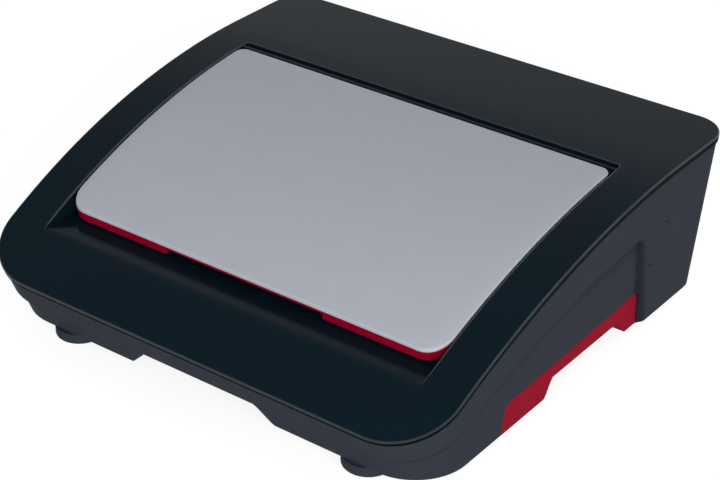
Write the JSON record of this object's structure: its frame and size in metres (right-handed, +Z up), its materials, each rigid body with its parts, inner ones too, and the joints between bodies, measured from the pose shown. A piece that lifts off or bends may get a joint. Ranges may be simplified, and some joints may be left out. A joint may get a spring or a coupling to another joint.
{
  "type": "comb_binding_machine",
  "caption": "Desktop comb binder with a charcoal case, an arched gloss frame, a silver lid with a red lip, a red chip drawer, a punch unit and a comb opener",
  "frame": {"origin": "on the table under the middle of the case", "axes": "+X to the right side with the drawer, +Y to the rear, +Z up"},
  "size_m": [0.43, 0.397, 0.14],
  "materials": {
    "case_plastic": "fine matte grain",
    "frame_gloss": "gloss",
    "lid_silver": "satin metallic",
    "red_plastic": "semi gloss",
    "foot_rubber": "matte",
    "inner_plastic": "matte",
    "black_plastic": "matte",
    "pale_plastic": "smooth",
    "sheet_steel": "brushed",
    "ground_steel": "ground",
    "brass_metal": "machined",
    "motor_metal": "satin",
    "board_green": "lacquered",
    "core_tape": "wrapped"
  },
  "bodies": {
    "case": {"lower_case": "case_plastic", "top_frame": "frame_gloss", "lid_hinge_pins": "ground_steel", "lid_bumpers": "foot_rubber", "drawer_rail_front": "sheet_steel", "drawer_rail_rear": "sheet_steel", "foot_front_left": "foot_rubber", "foot_front_right": "foot_rubber", "foot_rear_left": "foot_rubber", "foot_rear_right": "foot_rubber", "side_cap": "case_plastic", "power_inlet": "black_plastic", "inlet_pins": "brass_metal", "switch_housing": "black_plastic", "power_board": "board_green", "transformer": "core_tape", "inner_deck": "inner_plastic", "deck_apron": "inner_plastic", "chip_guard": "inner_plastic", "paper_chute": "inner_plastic", "paper_stop": "sheet_steel", "chassis_left": "sheet_steel", "chassis_right": "sheet_steel", "die_plate": "ground_steel", "stripper_plate": "ground_steel", "guide_rods": "ground_steel", "shaft_bushes": "brass_metal", "gearbox": "motor_metal", "motor_can": "motor_metal", "comb_fingers": "sheet_steel", "slider_studs": "ground_steel", "lever_pin": "ground_steel", "control_board": "board_green", "board_switch": "inner_plastic", "case_screws": "ground_steel", "chassis_screws": "ground_steel"},
    "lid": {"lid_panel": "lid_silver", "lid_liner": "red_plastic"},
    "drawer": {"chip_drawer": "red_plastic"},
    "guide": {"edge_guide": "pale_plastic"},
    "shaft": {"drive_shaft": "ground_steel", "drive_cams": "ground_steel", "main_gear": "pale_plastic"},
    "rotor": {"motor_pinion": "brass_metal"},
    "punch": {"pressure_bar": "ground_steel", "punch_pins": "ground_steel"},
    "lever": {"comb_lever": "inner_plastic", "lever_knob": "red_plastic"},
    "hooks": {"hook_plate": "sheet_steel", "comb_hooks": "sheet_steel", "hook_rack": "sheet_steel"},
    "button": {"punch_button": "red_plastic"},
    "rocker": {"power_rocker": "red_plastic"}
  },
  "joints": [
    {"name": "lid_hinge", "type": "hinge", "parent": "case", "child": "lid", "pos_m": [0, 0.062, 0.13063], "axis": [-1, 0, 0], "range_deg": [0, 100]},
    {"name": "drawer_slide", "type": "slide", "parent": "case", "child": "drawer", "axis": [1, 0, 0], "range_m": [0, 0.25]},
    {"name": "guide_slide", "type": "slide", "parent": "case", "child": "guide", "axis": [1, 0, 0], "range_m": [0, 0.04]},
    {"name": "shaft_turn", "type": "hinge", "parent": "case", "child": "shaft", "pos_m": [0, 0.13617, 0.068], "axis": [1, 0, 0], "range_deg": [-0.5, 150.5]},
    {"name": "rotor_turn", "type": "hinge", "parent": "case", "child": "rotor", "pos_m": [0, 0.14596, 0.10905], "axis": [1, 0, 0], "range_deg": [-376, 0.5]},
    {"name": "punch_slide", "type": "slide", "parent": "case", "child": "punch", "axis": [0, -1, 0], "range_m": [0, 0.011]},
    {"name": "lever_swing", "type": "hinge", "parent": "case", "child": "lever", "pos_m": [0.13682, -0.04, 0.068], "axis": [0, 0, 1], "range_deg": [-0.5, 60.5]},
    {"name": "hook_slide", "type": "slide", "parent": "case", "child": "hooks", "axis": [0, 1, 0], "range_m": [0, 0.01257]},
    {"name": "button_press", "type": "slide", "parent": "case", "child": "button", "axis": [0, 0, -1], "range_m": [0, 0.002], "stiffness_N_per_m": 400},
    {"name": "rocker_tilt", "type": "hinge", "parent": "case", "child": "rocker", "pos_m": [-0.066, 0.18194, 0.04528], "axis": [0, 0.1416, 0.9899], "range_deg": [0, 18]}
  ],
  "couplings": [
    {"joint": "shaft_turn", "follows": "punch_slide", "rad_per_m": 238},
    {"joint": "rotor_turn", "follows": "punch_slide", "rad_per_m": -595},
    {"joint": "lever_swing", "follows": "hook_slide", "rad_per_m": 83.333}
  ]
}
